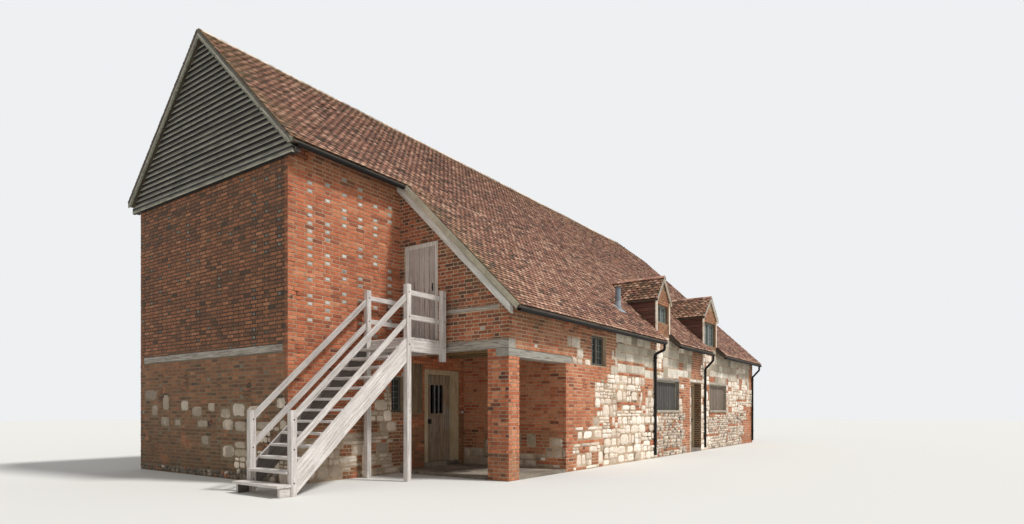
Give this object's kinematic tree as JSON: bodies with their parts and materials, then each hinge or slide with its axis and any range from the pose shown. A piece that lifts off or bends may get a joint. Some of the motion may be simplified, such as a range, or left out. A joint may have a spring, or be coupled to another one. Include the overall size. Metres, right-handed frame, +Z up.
{
  "type": "traditional farmhouse with an outside stair",
  "caption": "Long old brick and stone farmhouse with a tall boarded gable, a low front roof over a corner porch, an outside timber stair, small dormers and black gutters.",
  "frame": {"origin": "on the ground, in the middle of the plan from gable to gable and from front wall to back wall", "axes": "+X along the ridge away from the boarded gable, +Y to the back, +Z up; the front and the outside stair face -Y"},
  "size_m": [22.095, 9.203, 9.1897],
  "materials": {
    "brick": "hand-made brick in lime mortar, some glazed headers",
    "mixed_walling": "reused stone, flint and brick in lime mortar",
    "paving": "worn stone flags",
    "roof_tile": "weathered plain clay tiles with lichen",
    "ridge_tile": "half-round clay ridge tiles with lichen",
    "weatherboard": "old lapped boards, silver green",
    "old_timber": "weathered structural oak",
    "stair_oak": "bleached sawn oak",
    "door_boards": "weathered boards",
    "floor_boards": "oak floor boards",
    "window_wood": "weathered window frames",
    "pane": "leaded panes, dark inside",
    "rainwater": "black gloss paint",
    "flue_metal": "dull grey metal with a lead slate"
  },
  "bodies": {
    "house": {"ground_floor": "paving", "porch_floor": "paving", "thresholds": "paving", "gable_wall": "brick", "gable_boarding": "weatherboard", "gable_bargeboards": "old_timber", "block_wall": "brick", "porch_back_walls": "brick", "porch_door_over_wall": "brick", "porch_side_wall": "brick", "porch_pier": "brick", "front_beam": "old_timber", "return_beam": "old_timber", "return_wall": "brick", "wall_timbers": "old_timber", "return_rafter": "old_timber", "front_wall_west": "mixed_walling", "porch_front_wall": "brick", "front_door_over_wall": "mixed_walling", "front_wall_east": "mixed_walling", "front_door_lintel": "brick", "back_wall": "brick", "far_gable_wall": "brick", "upper_floors": "floor_boards", "floor_timbers": "old_timber", "roof_front": "roof_tile", "roof_back": "roof_tile", "roof_catslide": "roof_tile", "roof_low": "roof_tile", "half_hip": "roof_tile", "ridge_tiles": "ridge_tile", "roof_timbers": "old_timber", "dormer_walls": "brick", "dormer_roofs": "roof_tile", "dormer_windows": "window_wood", "window_frames": "window_wood", "window_glass": "pane", "shutter_frames": "window_wood", "window_shutters": "door_boards", "porch_door_frame": "old_timber", "front_door_frame": "old_timber", "upper_door_frame": "old_timber", "upper_door": "door_boards", "gutters": "rainwater", "downpipes": "rainwater", "flue_pipe": "flue_metal", "stair_posts": "stair_oak", "stair_stringers": "stair_oak", "stair_treads": "stair_oak", "stair_landing": "stair_oak", "stair_rails": "stair_oak"},
    "porch_door": {"porch_door": "door_boards"},
    "front_door": {"front_door": "door_boards"}
  },
  "joints": [
    {"name": "porch_door_hinge", "type": "hinge", "parent": "house", "child": "porch_door", "pos_m": [-5.934, -1.236, 1.2], "axis": [0, 0, -1], "range_deg": [0, 90]},
    {"name": "front_door_hinge", "type": "hinge", "parent": "house", "child": "front_door", "pos_m": [2.709, -3.912, 1.2], "axis": [0, 0, 1], "range_deg": [0, 90]}
  ]
}
